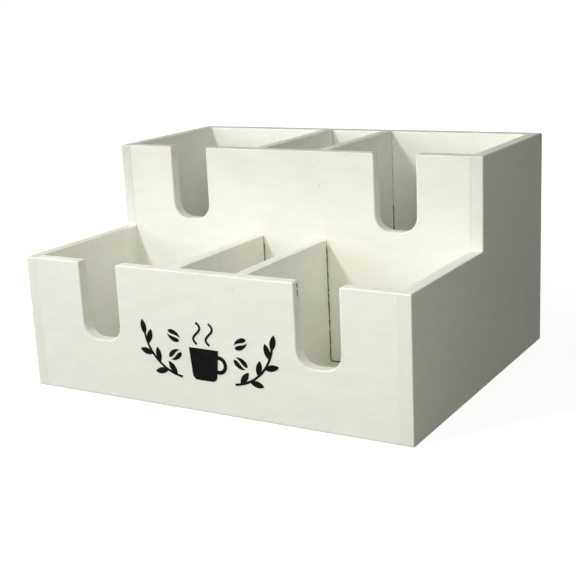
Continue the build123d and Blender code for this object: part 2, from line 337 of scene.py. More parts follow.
def finish_piece(piece, slot, *nodes):
    """Hand a finished piece to the frame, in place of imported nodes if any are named."""
    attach(piece, "root")
    if nodes:
        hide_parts(*nodes)


def finish_board(board, node, slot="painted_board"):
    """Hand a finished board to the frame, in place of its packed one."""
    keep_inside(board, node)
    smooth(board)
    finish_piece(board, slot, node)


# Filler and brads

def filler_places(node):
    """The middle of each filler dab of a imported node, from the left and from below."""
    only(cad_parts[node])
    bpy.ops.object.duplicate()
    with editing(bpy.context.object, "VERT"):
        bpy.ops.mesh.select_all(action="SELECT")
        bpy.ops.mesh.remove_doubles(threshold=NEAR)
        bpy.ops.mesh.separate(type="LOOSE")
    places = []
    for dab in list(bpy.context.selected_objects):
        low, high = span(corners_of(dab))
        places.append((low + high) / 2)
        bpy.data.objects.remove(dab)
    return sorted(places, key=lambda place: (round(place.x, 4), round(place.y, 4), place.z))


FILLED_FACES = {
    "left_side_filler": -AXES["X"],
    "right_side_filler": AXES["X"],
    "front_panel_filler": -AXES["Y"],
    "tier_panel_filler": -AXES["Y"],
    "back_panel_filler": AXES["Y"],
}
# The dabs that kept an open pinhole, counted from the left and from below
PINHOLED = {"front_panel_filler": (1, 3), "tier_panel_filler": (6, 7)}
dab_places = {node: filler_places(node) for node in FILLED_FACES}


def bores(filler_node, material):
    """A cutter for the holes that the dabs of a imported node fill."""
    sizes = bpy.context.scene.organizer_sizes
    outward = FILLED_FACES[filler_node]
    turn = outward.to_track_quat("Z", "Y").to_euler()
    pins = [
        new_piece(bpy.ops.mesh.primitive_cylinder_add, material, vertices=ROUND_SIDES,
                  radius=sizes.filler_radius, depth=2 * sizes.filler_depth,
                  location=place + outward * sizes.filler_depth / 2, rotation=turn)
        for place in dab_places[filler_node]
    ]
    return settled(join(pins, "bores"))


def filler_dab(filler, grime, pinholed):
    """One dab of filler that faces up, with its rim at zero height."""
    sizes = bpy.context.scene.organizer_sizes
    dab = settled(new_piece(bpy.ops.mesh.primitive_cylinder_add, filler, vertices=ROUND_SIDES,
                            radius=sizes.filler_radius, depth=sizes.filler_depth,
                            location=(0, 0, -sizes.filler_depth / 2)))
    dab.data.materials.append(grime)
    with editing(dab, "FACE"):
        pick(dab, "faces", lambda face: lies_at(face, z=0))
        for _ in range(FILLER_RINGS):
            bpy.ops.mesh.inset(
                thickness=(sizes.filler_radius - sizes.pinhole_radius) / FILLER_RINGS, depth=0)
            bpy.ops.transform.translate(value=(0, 0, -sizes.filler_dish / FILLER_RINGS))
        if pinholed:
            bpy.ops.mesh.extrude_region_move(
                TRANSFORM_OT_translate={"value": (0, 0, -sizes.filler_dish)})
            # The pit takes the darker grime, partly dirt and partly painted shade of the pit
            dab.active_material_index = 1
            bpy.ops.object.material_slot_assign()
        else:
            bpy.ops.mesh.inset(thickness=sizes.pinhole_radius / 2, depth=0)
            bpy.ops.mesh.poke()
    smooth(dab)
    return dab


# Boards

def floor_recess(material):
    """A cutter for the rabbet that the floor sits in, open below."""
    play = bpy.context.scene.organizer_sizes.floor_play
    low = floor_low - Vector((play, play, play * RECESS_REACH))
    high = Vector((floor_high.x + play, floor_high.y + play, floor_high.z))
    return box_piece("floor_recess", low, high, material)


def side_board(name, node, filler_node, paint, seed):
    """One stepped side board."""
    sizes = bpy.context.scene.organizer_sizes
    low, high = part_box(node)
    outer, inner = (high.x, low.x) if FILLED_FACES[filler_node].x > 0 else (low.x, high.x)
    board = box_piece(name, low, Vector((high.x, high.y, front_high.z)), paint)
    with editing(board, "FACE"):
        slice_at("Y", tier_low.y)
        pick(board, "faces",
             lambda face: lies_at(face, z=front_high.z) and middle(face).y > tier_low.y)
        bpy.ops.mesh.extrude_region_move(
            TRANSFORM_OT_translate={"value": (0, 0, high.z - front_high.z)})
        bpy.ops.mesh.select_all(action="SELECT")
        bpy.ops.mesh.dissolve_limited(angle_limit=SEAM_ANGLE)

    round_edges(board, lambda edge: lies_at(edge, y=tier_low.y, z=front_high.z), sizes.step_corner)
    round_edges(
        board,
        lambda edge: lies_at(edge, y=low.y, z=front_high.z)
        or lies_at(edge, y=tier_low.y, z=high.z)
        or lies_at(edge, y=high.y, z=high.z),
        sizes.outline_corner,
    )
    round_edges(
        board,
        lambda edge: lies_at(edge, x=outer) and not lies_at(edge, z=low.z),
        sizes.rim_rounding,
    )
    ends = (low.y, tier_low.y, high.y)
    round_edges(
        board,
        lambda edge: lies_at(edge, x=inner) and runs_along(edge, "Y") and not lies_at(edge, z=low.z),
        sizes.inner_rounding,
    )
    round_edges(
        board,
        lambda edge: lies_at(edge, x=inner) and any(lies_at(edge, y=end) for end in ends),
        sizes.joint_softening,
        segments=1,
    )
    round_edges(board, lambda edge: lies_at(edge, x=outer, z=low.z), sizes.foot_rounding, segments=2)
    sand_by_hand(board, "Y", seed)
    cut_away(board, floor_recess(paint))
    cut_away(board, bores(filler_node, paint))
    return board


def notch_cutter(x, low, high, material):
    """A cutter for one notch, from above the rim to its rounded lower corners."""
    sizes = bpy.context.scene.organizer_sizes
    clear = sizes.notch_corner / 2
    cutter = box_piece(
        "notch",
        Vector((x - sizes.notch_width / 2, low.y - clear, high.z - sizes.notch_depth)),
        Vector((x + sizes.notch_width / 2, high.y + clear, high.z + clear)),
        material,
    )
    round_edges(
        cutter,
        lambda edge: runs_along(edge, "Y") and lies_at(edge, z=high.z - sizes.notch_depth),
        sizes.notch_corner,
        segments=10,
    )
    return cutter


def notched_board(name, node, paint, seed):
    """A board between the sides, with a notch in front of each wide bay."""
    sizes = bpy.context.scene.organizer_sizes
    low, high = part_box(node)
    board = box_piece(name, low, high, paint)
    for x in (-bay_middle, bay_middle):
        cut_away(board, notch_cutter(x, low, high, paint))
    round_edges(
        board,
        lambda edge: lies_at(edge, z=high.z) and runs_along(edge, "Y")
        and abs(middle(edge).x) < high.x - sizes.notch_width / 2,
        sizes.notch_lip,
    )
    round_edges(
        board,
        lambda edge: (lies_at(edge, y=low.y) or lies_at(edge, y=high.y))
        and not lies_at(edge, z=low.z)
        and not lies_at(edge, x=low.x)
        and not lies_at(edge, x=high.x),
        sizes.rim_rounding,
    )
    round_edges(
        board,
        lambda edge: lies_at(edge, x=low.x, y=low.y) or lies_at(edge, x=high.x, y=low.y),
        sizes.joint_softening,
        segments=1,
    )
    round_edges(board, lambda edge: lies_at(edge, y=low.y, z=low.z), sizes.foot_rounding, segments=2)
    sand_by_hand(board, "X", seed)
    return board


# Where the saw tore the front right notch's left wall: how far behind the front and how high. Each
# chip's half sizes are drawn from these ranges, and its corners then wander
TORN_SPOTS = (
    (0.0046, 0.0936), (0.0050, 0.0925), (0.0047, 0.0897), (0.0051, 0.0884), (0.0049, 0.0868))
TORN_SIZES = ((0.0003, 0.0005), (0.0005, 0.0008), (0.0008, 0.0012))
TORN_DRIFT = 0.00012
# The shallow knock low on the right side: how far outside the board its middle is, its place along
# the board and its height, and its half sizes
KNOCK_PLACE = (0.0004, -0.096, 0.027)
KNOCK_SIZE = (0.0006, 0.0016, 0.0060)


def tear_out(material):
    """A cutter for the chips that the saw tore out of the front right notch's left wall."""
    draw = random.Random(5)
    wall = bay_middle - bpy.context.scene.organizer_sizes.notch_width / 2
    chips = [
        new_piece(bpy.ops.mesh.primitive_ico_sphere_add, material, subdivisions=2, radius=1,
                  location=(wall, front_low.y + behind, height),
                  scale=[draw.uniform(*sizes) for sizes in TORN_SIZES])
        for behind, height in TORN_SPOTS
    ]
    cutter = settled(join(chips, "tear_out"))
    with editing(cutter, "VERT"):
        bpy.ops.mesh.select_all(action="SELECT")
        bpy.ops.transform.vertex_random(offset=TORN_DRIFT, seed=2)
    return cutter


def knock(material):
    """A cutter for the knock in the right side."""
    outside, along, height = KNOCK_PLACE
    return settled(new_piece(
        bpy.ops.mesh.primitive_uv_sphere_add, material, segments=24, ring_count=16,
        radius=1, location=(side_high.x + outside, along, height), scale=KNOCK_SIZE))


# Paint that gathers in the inner corners

BEAD_SUNK = 0.15          # share of a bead's radius that it reaches into the boards
BEAD_PROFILE = 0.15       # less than a half, so that its face is hollow
BEAD_WANDER = 0.16        # share of its radius that its surface wanders
BEAD_STEP = 0.006         # length of bead from one place where it wanders to the next
BEAD_END = 3              # how many radii below the rim it ends
SEEDS = 999               # each bead draws its seed from as many


def paint_bead(start, end, first_wall, second_wall, radius, material, seed):
    """Paint in an inner corner from start to end. The walls point out of it, along its two boards."""
    reach = (first_wall + second_wall) * radius
    back = (first_wall + second_wall) * (radius * BEAD_SUNK)
    low, high = span([start - back, end - back, start + reach, end + reach])
    bead = box_piece("bead", low, high, material)
    axis = "XYZ"[max(range(3), key=lambda place: abs((end - start)[place]))]
    outer = start + reach
    steps = max(2, round((end - start).length / BEAD_STEP))

    def is_outer(edge):
        """Whether it is the edge that stands out into the bay."""
        off = middle(edge) - outer
        return runs_along(edge, axis) and (off - AXES[axis] * off.dot(AXES[axis])).length < NEAR

    with editing(bead, "EDGE"):
        pick(bead, "edges", is_outer)
        bpy.ops.mesh.bevel(offset=radius, segments=3, profile=BEAD_PROFILE, affect="EDGES")
        pick(bead, "edges", lambda edge: runs_along(edge, axis))
        bpy.ops.mesh.subdivide(number_cuts=steps)
        bpy.ops.mesh.select_all(action="SELECT")
        bpy.ops.transform.vertex_random(
            offset=radius * BEAD_WANDER, uniform=0.0, normal=0.0, seed=seed)
    return bead


def bays():
    """Left, right, front and back wall, and rim height, of each of the six bays."""
    columns = (
        (-side_low.x, -divider_high.x), (-divider_low.x, divider_low.x), (divider_high.x, side_low.x))
    rows = ((front_high.y, tier_low.y, front_high.z), (tier_high.y, back_low.y, tier_high.z))
    for start, end, rim in rows:
        for left, right in columns:
            yield left, right, start, end, rim


def corner_beads(material):
    """A bead of paint in each inner corner of each bay, but not where a divider leaves a gap."""
    radius = bpy.context.scene.organizer_sizes.corner_paint
    draw = random.Random(11)
    beads = []

    def bead(start, end, first_wall, second_wall):
        """Add one more bead."""
        beads.append(paint_bead(Vector(start), Vector(end), first_wall, second_wall,
                                radius, material, draw.randrange(SEEDS)))

    foot = floor_high.z
    for left, right, start, end, rim in bays():
        for x, x_wall in ((left, AXES["X"]), (right, -AXES["X"])):
            bead((x, start, foot), (x, end, foot), x_wall, AXES["Z"])
            for y, y_wall in ((start, AXES["Y"]), (end, -AXES["Y"])):
                if y == start or abs(x) > side_low.x - NEAR:
                    bead((x, y, foot), (x, y, rim - radius * BEAD_END), x_wall, y_wall)
        bead((left, start, foot), (right, start, foot), AXES["Y"], AXES["Z"])
    return join(beads, "corner_paint")


# Shares of a divider's height: above the first, the dark dirt and painted shadow in the gap behind it
# lie deep, and above the second, paint closes the gap
GAPS = {
    "front_divider_left": (0.93, 1.0),
    "front_divider_right": (0.96, 1.0),
    "rear_divider_left": (1.0, 0.2),
    "rear_divider_right": (1.0, 0.62),
}
GAP_STROKE = 0.0018       # height from one place where the dirt and painted shadow stand out to the next
GAP_BULGE = (-0.3, 1.2)   # least and most share of the overfill that it stands out there


def gap_dirt(node, board_front, dirt, closed, draw):
    """Old glue and dirt, and painted shadow, in the gap between a divider and the board behind it."""
    sizes = bpy.context.scene.organizer_sizes
    low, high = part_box(node)
    strip = box_piece(
        "gap_dirt",
        Vector((low.x, high.y - sizes.gap_overfill, floor_high.z)),
        Vector((high.x, board_front, high.z - sizes.gap_recess)),
        dirt,
    )
    strip.data.materials.append(closed)
    tall = high.z - floor_high.z
    strokes = round(tall / GAP_STROKE)
    filled, painted_over = (floor_high.z + tall * part for part in GAPS[node])
    with editing(strip, "FACE"):
        for stroke in range(1, strokes):
            slice_at("Z", floor_high.z + tall * stroke / strokes)
        mesh = bmesh.from_edit_mesh(strip.data)
        for level in sorted({round(corner.co.z, 5) for corner in mesh.verts}):
            out = -sizes.gap_recess
            if level <= filled:
                out = sizes.gap_overfill * draw.uniform(*GAP_BULGE)
            for corner in mesh.verts:
                if abs(corner.co.z - level) < NEAR:
                    corner.co.x += out if corner.co.x > (low.x + high.x) / 2 else -out
        bmesh.update_edit_mesh(strip.data)
        pick(strip, "faces", lambda face: middle(face).z > painted_over)
        strip.active_material_index = 1
        bpy.ops.object.material_slot_assign()
    return strip


def joint_dirt(dirt, closed, dust):
    """Dirt with painted shadow in the four gaps and at each bay's back foot, and dust lines with
    painted shade in the corners that the paint didn't close.
    """
    sizes = bpy.context.scene.organizer_sizes
    draw = random.Random(23)
    lines = []
    for node in GAPS:
        board_front = tier_low.y if node.startswith("front") else back_low.y
        lines.append(gap_dirt(node, board_front, dirt, closed, draw))
    for left, right, _, end, rim in bays():
        foot = Vector((left, end, floor_high.z))
        # Dirt and painted shadow in the crevice at the foot of the bay's back wall
        lines.append(paint_bead(foot, Vector((right, end, floor_high.z)), -AXES["Y"], AXES["Z"],
                                sizes.foot_dirt_and_shade, dirt, draw.randrange(SEEDS)))
        if left < -divider_high.x - NEAR:
            top = Vector((left, end, rim - sizes.rim_rounding))
            # A thin line of dust and painted shade in the hairline corner
            lines.append(paint_bead(foot, top, AXES["X"], -AXES["Y"],
                                    sizes.corner_dust, dust, draw.randrange(SEEDS)))
    return join(lines, "joint_dirt")


# Shader node groups

def titled(label):
    """A socket's name, from a keyword."""
    return label.replace("_", " ").title()


def solid(rgb):
    """A colour with full alpha, as node sockets take it."""
    return (*rgb, 1.0)


class Wiring:
    """Adds nodes to a tree and joins them up."""

    def __init__(self, tree):
        self.tree = tree

    def set(self, socket, value):
        """Lead a socket to another one, or give it a value."""
        if isinstance(value, bpy.types.NodeSocket):
            self.tree.links.new(value, socket)
        else:
            socket.default_value = value

    def add(self, kind, inputs=None, **settings):
        """A node of a kind, with what feeds each of its inputs, by name or by number."""
        node = self.tree.nodes.new(kind)
        for name, value in settings.items():
            setattr(node, name, value)
        for name, value in (inputs or {}).items():
            self.set(node.inputs[name], value)
        return node

    def group(self, name, **inputs):
        """The outputs of a placed copy of a node group."""
        node = self.add("ShaderNodeGroup", node_tree=bpy.data.node_groups[name])
        for label, value in inputs.items():
            self.set(node.inputs[titled(label)], value)
        return node.outputs

    def math(self, operation, *values, clamp=False):
        """The result of a sum on numbers."""
        node = self.add("ShaderNodeMath", dict(enumerate(values)), operation=operation, use_clamp=clamp)
        return node.outputs[0]

    def times(self, first, second):
        """One number times another."""
        return self.math("MULTIPLY", first, second)

    def plus(self, first, second, clamp=False):
        """One number and another."""
        return self.math("ADD", first, second, clamp=clamp)

    def minus(self, first, second):
        """One number less another."""
        return self.math("SUBTRACT", first, second)

    def vector(self, operation, first, second):
        """The result of a sum on vectors."""
        node = self.add("ShaderNodeVectorMath", {0: first, 1: second}, operation=operation)
        return node.outputs["Value" if operation == "DOT_PRODUCT" else "Vector"]

    def remap(self, value, low, high, to_low=0.0, to_high=1.0):
        """A number moved smoothly from one range to another."""
        return self.add(
            "ShaderNodeMapRange",
            {"Value": value, "From Min": low, "From Max": high, "To Min": to_low, "To Max": to_high},
            interpolation_type="SMOOTHSTEP",
        ).outputs["Result"]

    def noise(self, place, scale, detail, roughness=0.5, distortion=0.0):
        """Cloudy noise."""
        return self.add("ShaderNodeTexNoise", {
            "Vector": place, "Scale": scale, "Detail": detail,
            "Roughness": roughness, "Distortion": distortion}).outputs["Fac"]

    def stretched(self, place, long, deep, high):
        """A place counted in cells of these sizes."""
        cell = self.add("ShaderNodeCombineXYZ", {"X": long, "Y": deep, "Z": high}).outputs[0]
        return self.vector("DIVIDE", place, cell)

    def facing(self, axis):
        """How far the surface looks along an axis: 1 along it, -1 against it."""
        return self.vector("DOT_PRODUCT", self.add("ShaderNodeNewGeometry").outputs["Normal"], axis)

    def squarely(self, axis):
        """How squarely the surface looks along an axis, either way."""
        return self.math("ABSOLUTE", self.facing(axis))

    def level(self, place):
        """How high a place is."""
        return self.add("ShaderNodeSeparateXYZ", {"Vector": place}).outputs["Z"]

    def blend(self, factor, first, second, kind="MIX"):
        """One colour blended over another."""
        node = self.add(
            "ShaderNodeMix", {0: factor, 6: first, 7: second}, data_type="RGBA", blend_type=kind)
        return node.outputs[2]

    def tint(self, tone, rgb, mask, most):
        """A tone with a colour laid over it where a mask is, at most by a share."""
        return self.blend(self.times(mask, most), tone, solid(rgb))


def new_group(name, outputs, **inputs):
    """The wiring of a new node group that reads places, and its own inputs by name."""
    tree = bpy.data.node_groups.new(name, "ShaderNodeTree")
    tree.interface.new_socket("Vector", in_out="INPUT", socket_type="NodeSocketVector")
    for label, default in inputs.items():
        kind = "NodeSocketFloat" if isinstance(default, float) else "NodeSocketVector"
        socket = tree.interface.new_socket(titled(label), in_out="INPUT", socket_type=kind)
        socket.default_value = default
    for label in outputs:
        tree.interface.new_socket(label, in_out="OUTPUT", socket_type="NodeSocketFloat")
    wiring = Wiring(tree)
    return wiring, wiring.add("NodeGroupInput").outputs


def close_group(wiring, **outputs):
    """Lead the finished values to the outputs of a group."""
    wiring.add("NodeGroupOutput", {titled(label): value for label, value in outputs.items()})


def make_brush_streaks():
    """Fine brush strokes along X."""
    wiring, given = new_group("Brush Streaks", ["Streak"], stroke_length=0.012, stroke_width=0.0009)
    width = given["Stroke Width"]
    place = wiring.stretched(given["Vector"], given["Stroke Length"], width, width)
    streak = wiring.noise(place, scale=1.0, detail=2.0, roughness=0.55, distortion=0.35)
    close_group(wiring, streak=wiring.remap(streak, 0.3, 0.7))


def make_wood_grain():
    """Grain lines along X that wander, as they show through paint or on a bare board."""
    wiring, given = new_group("Wood Grain", ["Grain"], line_spacing=0.004, wander=0.004)
    spacing = given["Line Spacing"]
    shift = wiring.times(wiring.noise(given["Vector"], scale=14.0, detail=1.0), given["Wander"])
    sideways = wiring.add("ShaderNodeCombineXYZ", {"Y": shift, "Z": shift}).outputs[0]
    moved = wiring.vector("ADD", given["Vector"], sideways)
    place = wiring.stretched(moved, wiring.times(spacing, 30.0), spacing, spacing)
    lines = wiring.noise(place, scale=1.0, detail=4.0, roughness=0.65)
    close_group(wiring, grain=wiring.remap(lines, 0.35, 0.65))


def make_paint_patches():
    """Broad soft patches where the paint dried thicker, and smaller ones inside them."""
    wiring, given = new_group("Paint Patches", ["Patch", "Cloud"], patch_size=0.06)
    size = given["Patch Size"]
    place = wiring.stretched(given["Vector"], wiring.times(size, 1.6), size, size)
    broad = wiring.noise(place, scale=1.0, detail=2.0, roughness=0.45)
    small = wiring.noise(place, scale=5.0, detail=3.0, roughness=0.55)
    close_group(wiring, patch=wiring.remap(broad, 0.38, 0.66), cloud=wiring.remap(small, 0.35, 0.68))


def make_scuffs():
    """Long faint smears that run slantwise over a board."""
    wiring, given = new_group("Scuffs", ["Scuff"], scuff_length=0.03, scuff_width=0.0022)
    run = given["Scuff Length"]
    slanted = wiring.add("ShaderNodeMapping", {
        "Vector": given["Vector"], "Rotation": (math.radians(-38), 0, 0)}).outputs[0]
    place = wiring.stretched(slanted, run, run, given["Scuff Width"])
    smear = wiring.noise(place, scale=1.0, detail=3.0)
    places = wiring.noise(given["Vector"], scale=45.0, detail=1.0)
    close_group(wiring, scuff=wiring.times(
        wiring.remap(smear, 0.55, 0.72), wiring.remap(places, 0.45, 0.6)))


def make_end_grain():
    """Where a board is cut across its grain, and the open pores there."""
    wiring, given = new_group("End Grain", ["Cut", "Pores"], grain_axis=(1.0, 0.0, 0.0))
    cut = wiring.remap(wiring.squarely(given["Grain Axis"]), 0.55, 0.9)
    cells = wiring.add("ShaderNodeTexVoronoi", {"Vector": given["Vector"], "Scale": 1500.0})
    pores = wiring.remap(cells.outputs["Distance"], 0.45, 0.1)
    close_group(wiring, cut=cut, pores=wiring.times(cut, pores))


def make_ply_lines():
    """Faint glue lines on a board's cut edges, between its middle ply and the outer ones."""
    wiring, given = new_group(
        "Ply Lines", ["Line"], broad_axis=(0.0, 1.0, 0.0), middle=0.0, ply=0.003, rims_only=0.0)
    place, broad_axis = given["Vector"], given["Broad Axis"]
    depth = wiring.minus(wiring.vector("DOT_PRODUCT", place, broad_axis), given["Middle"])
    wander = wiring.remap(wiring.noise(place, scale=70.0, detail=2.0), 0.3, 0.7, -0.0003, 0.0003)
    depth = wiring.plus(wiring.math("ABSOLUTE", depth), wander)
    off_line = wiring.math("ABSOLUTE", wiring.minus(depth, wiring.times(given["Ply"], 0.5)))
    line = wiring.times(
        wiring.remap(off_line, 0.001, 0.0001), wiring.remap(wiring.squarely(broad_axis), 0.4, 0.2))
    rims = wiring.remap(wiring.facing(AXES["Z"]), 0.6, 0.9)
    line = wiring.times(line, wiring.math("MAXIMUM", rims, wiring.minus(1.0, given["Rims Only"])))
    breaks = wiring.remap(wiring.noise(place, scale=140.0, detail=2.0), 0.35, 0.65, 0.25, 1.0)
    close_group(wiring, line=wiring.times(line, breaks))


def make_rounded_edge():
    """Where a board's broad face turns over a rounded edge, broken up as by rubbing."""
    wiring, given = new_group("Rounded Edge", ["Edge"], broad_axis=(0.0, 1.0, 0.0))
    square = wiring.squarely(given["Broad Axis"])
    turn = wiring.times(wiring.remap(square, 0.05, 0.35), wiring.remap(square, 0.97, 0.75))
    patches = wiring.remap(wiring.noise(given["Vector"], scale=160.0, detail=3.0), 0.42, 0.62)
    close_group(wiring, edge=wiring.times(turn, patches))


def make_settled_dust_and_shade():
    """Dust and painted shade on faces that look up, above a height: they are darker for the weaker light
    from above.
    """
    wiring, given = new_group("Settled Dust", ["Dust"], from_height=0.0)
    high = wiring.math("GREATER_THAN", wiring.level(given["Vector"]), given["From Height"])
    dust = wiring.times(wiring.remap(wiring.facing(AXES["Z"]), 0.6, 0.97), high)
    cover = wiring.remap(wiring.noise(given["Vector"], scale=60.0, detail=3.0), 0.3, 0.7, 0.8, 1.0)
    close_group(wiring, dust=wiring.times(dust, cover))


def make_front_top_shade():
    """Painted shade: the faces that look to the front grow darker towards the top of the rear tier."""
    wiring, given = new_group("Handled Edge", ["Handled"], from_height=0.108, to_height=0.158)
    high = wiring.remap(wiring.level(given["Vector"]), given["From Height"], given["To Height"])
    handled = wiring.times(high, wiring.remap(wiring.facing(-AXES["Y"]), 0.5, 0.9))
    cloud = wiring.remap(wiring.noise(given["Vector"], scale=22.0, detail=3.0), 0.3, 0.7, 0.55, 1.0)
    close_group(wiring, handled=wiring.times(handled, cloud))


def make_specks():
    """Sparse specks of dust under the paint."""
    wiring, given = new_group("Specks", ["Speck"], spacing=0.02, radius=0.0004)
    cells = wiring.add("ShaderNodeTexVoronoi", {
        "Vector": given["Vector"], "Scale": wiring.math("DIVIDE", 1.0, given["Spacing"])})
    edge = wiring.math("DIVIDE", given["Radius"], given["Spacing"])
    close_group(wiring, speck=wiring.math("LESS_THAN", cells.outputs["Distance"], edge))


SHARED_EFFECTS = (make_brush_streaks, make_wood_grain, make_paint_patches, make_scuffs, make_end_grain,
                  make_ply_lines, make_rounded_edge, make_settled_dust_and_shade, make_front_top_shade, make_specks)


# Materials

def new_material(name, specular=0.5):
    """The wiring, the shader node and the places on the surface of a new node material."""
    material = bpy.data.materials.new(name)
    material.use_nodes = True
    material.node_tree.nodes.clear()
    wiring = Wiring(material.node_tree)
    shader = wiring.add("ShaderNodeBsdfPrincipled", {"Specular IOR Level": specular})
    wiring.add("ShaderNodeOutputMaterial", {"Surface": shader.outputs[0]})
    return wiring, shader, wiring.add("ShaderNodeTexCoord").outputs["Object"]


def feed(wiring, shader, tone, rough, height, strength, distance):
    """Lead a colour, a roughness and a relief to a shader node."""
    bump = wiring.add("ShaderNodeBump", {"Strength": strength, "Distance": distance, "Height": height})
    wiring.set(shader.inputs["Base Color"], tone)
    wiring.set(shader.inputs["Roughness"], rough)
    wiring.set(shader.inputs["Normal"], bump.outputs[0])


def painted(name, grain, broad, shift, middle_plane=0.0,
            warm=1.0, rims=1.0, low_rims_dust_and_shade=0.0, handled=0.0, scuffed=0.0):
    """Brushed ivory paint on a board.

    The board's grain runs along one axis, its broad faces look along another, and it lies about its
    middle plane. Shift moves the pattern, so that no two boards are alike. The rest are shares: of
    warm patches, of dust and painted shade on the upper and on the lower rims, of painted shade
    towards the top of the front faces and of scuffs.
    """
    finish = bpy.context.scene.organizer_finish
    wiring, shader, spot = new_material(name, specular=0.18)
    turn = 0.0 if grain == "X" else math.radians(90)
    along = wiring.add("ShaderNodeMapping", {
        "Vector": spot, "Location": (shift, shift * 0.7, shift * 1.3),
        "Rotation": (0, 0, turn)}).outputs[0]
    streak = wiring.group("Brush Streaks", vector=along)["Streak"]
    broad_streak = wiring.group(
        "Brush Streaks", vector=along, stroke_length=0.04, stroke_width=0.0035)["Streak"]
    grain_lines = wiring.group("Wood Grain", vector=along)["Grain"]
    patches = wiring.group("Paint Patches", vector=along, patch_size=0.05)
    end = wiring.group("End Grain", vector=spot, grain_axis=AXES[grain])
    edge = wiring.group("Rounded Edge", vector=spot, broad_axis=AXES[broad])["Edge"]
    speck = wiring.group("Specks", vector=along, spacing=0.03, radius=0.0003)["Speck"]
    foot = wiring.remap(wiring.level(spot), FOOT_DUST_AND_SHADE_HEIGHT, 0.0)

    thick = wiring.times(patches["Patch"], finish.mottling * warm)
    tone = wiring.blend(thick, solid(finish.paint), solid(finish.thick_paint))
    swing = STREAK_SWING * finish.streaks
    shade = wiring.times(
        wiring.remap(streak, 0, 1, 1 - swing, 1 + swing),
        wiring.remap(broad_streak, 0, 1, 1 - swing, 1 + swing),
    )
    shade = wiring.times(shade, wiring.remap(grain_lines, 0, 1, 1 - swing, 1.0))
    cloud = wiring.remap(patches["Cloud"], 0, 1, 1 - STREAK_SWING, 1 + STREAK_SWING)
    tone = wiring.blend(1.0, tone, wiring.times(shade, cloud), "MULTIPLY")
    tone = wiring.tint(tone, finish.thin_paint, end["Cut"], finish.cut_ends)
    tone = wiring.tint(tone, finish.thin_paint, edge, finish.rubbed_edges)
    tone = wiring.tint(tone, finish.grime, end["Pores"], finish.pores)
    if middle_plane:
        glue = wiring.group("Ply Lines", vector=spot, broad_axis=AXES[broad], middle=middle_plane,
                            rims_only=1.0 if broad == "X" else 0.0)["Line"]
        tone = wiring.tint(tone, finish.glue_line, glue, finish.ply_lines)
    tone = wiring.tint(tone, finish.grime, speck, finish.specks)
    # Dust and painted contact shadow where the boards meet the table
    tone = wiring.tint(tone, finish.grime, foot, finish.foot_dust_and_shade)
    # Painted shade: front faces darker towards the top of the rear tier, standing in for weaker light
    # there
    if handled:
        top_shade_mask = wiring.group("Handled Edge", vector=spot)["Handled"]
        tone = wiring.tint(tone, finish.grime, top_shade_mask, handled)
    # Dust and painted shade: faces that look up are darker, standing in for the weaker light from above
    dust = wiring.group("Settled Dust", vector=spot, from_height=tier_high.z - RIM_DEPTH)["Dust"]
    if rims < 1.0:
        dust = wiring.times(dust, rims)
    if low_rims_dust_and_shade:
        low_dust_and_shade = wiring.group(
            "Settled Dust", vector=spot, from_height=front_high.z - RIM_DEPTH)["Dust"]
        dust = wiring.math("MAXIMUM", dust, wiring.times(low_dust_and_shade, low_rims_dust_and_shade))
    tone = wiring.blend(dust, tone, solid(finish.rim_dust_and_shade))
    if scuffed:
        scuff = wiring.group("Scuffs", vector=spot)["Scuff"]
        tone = wiring.tint(tone, finish.grime, scuff, scuffed)

    rough = wiring.plus(wiring.remap(streak, 0, 1, 0.54, 0.6), wiring.times(end["Cut"], 0.12))
    rough = wiring.plus(rough, wiring.times(dust, 0.3), clamp=True)
    height = wiring.plus(wiring.times(streak, 0.5), wiring.times(grain_lines, 0.6))
    height = wiring.minus(wiring.plus(height, wiring.times(broad_streak, 0.5)), end["Pores"])
    feed(wiring, shader, tone, rough, height, strength=1.0, distance=0.00002)


def bare_wood(name):
    """Unpainted pale wood, as on the underside of the floor."""
    finish = bpy.context.scene.organizer_finish
    wiring, shader, spot = new_material(name)
    grain = wiring.group("Wood Grain", vector=spot, line_spacing=0.0025, wander=0.02)["Grain"]
    streak = wiring.group(
        "Brush Streaks", vector=spot, stroke_length=0.012, stroke_width=0.0003)["Streak"]
    tone = wiring.tint(solid(finish.bare_wood), finish.dark_wood, grain, 0.7)
    tone = wiring.tint(tone, finish.dark_wood, streak, 0.3)
    rough = wiring.remap(streak, 0, 1, 0.65, 0.8)
    feed(wiring, shader, tone, rough, wiring.plus(grain, streak), strength=1.0, distance=0.00005)


def crumbs(name, dark, pale, closed=0.0):
    """Crumbly dirt, dark to pale, that in its darker colours also stands for painted shade in gaps,
    pits and corners. Closed is how far paint closes it in places.
    """
    wiring, shader, spot = new_material(name, specular=0.1)
    dust = wiring.noise(spot, scale=1200.0, detail=3.0)
    tone = wiring.blend(wiring.remap(dust, 0.35, 0.7), solid(dark), solid(pale))
    if closed:
        paint = bpy.context.scene.organizer_finish.thin_paint
        places = wiring.noise(spot, scale=170.0, detail=2.0)
        over = wiring.remap(places, 0.66 - 0.3 * closed, 0.78 - 0.3 * closed)
        tone = wiring.tint(tone, paint, over, 0.7)
    rough = wiring.remap(dust, 0.3, 0.7, 0.75, 0.95)
    feed(wiring, shader, tone, rough, dust, strength=0.6, distance=0.0001)


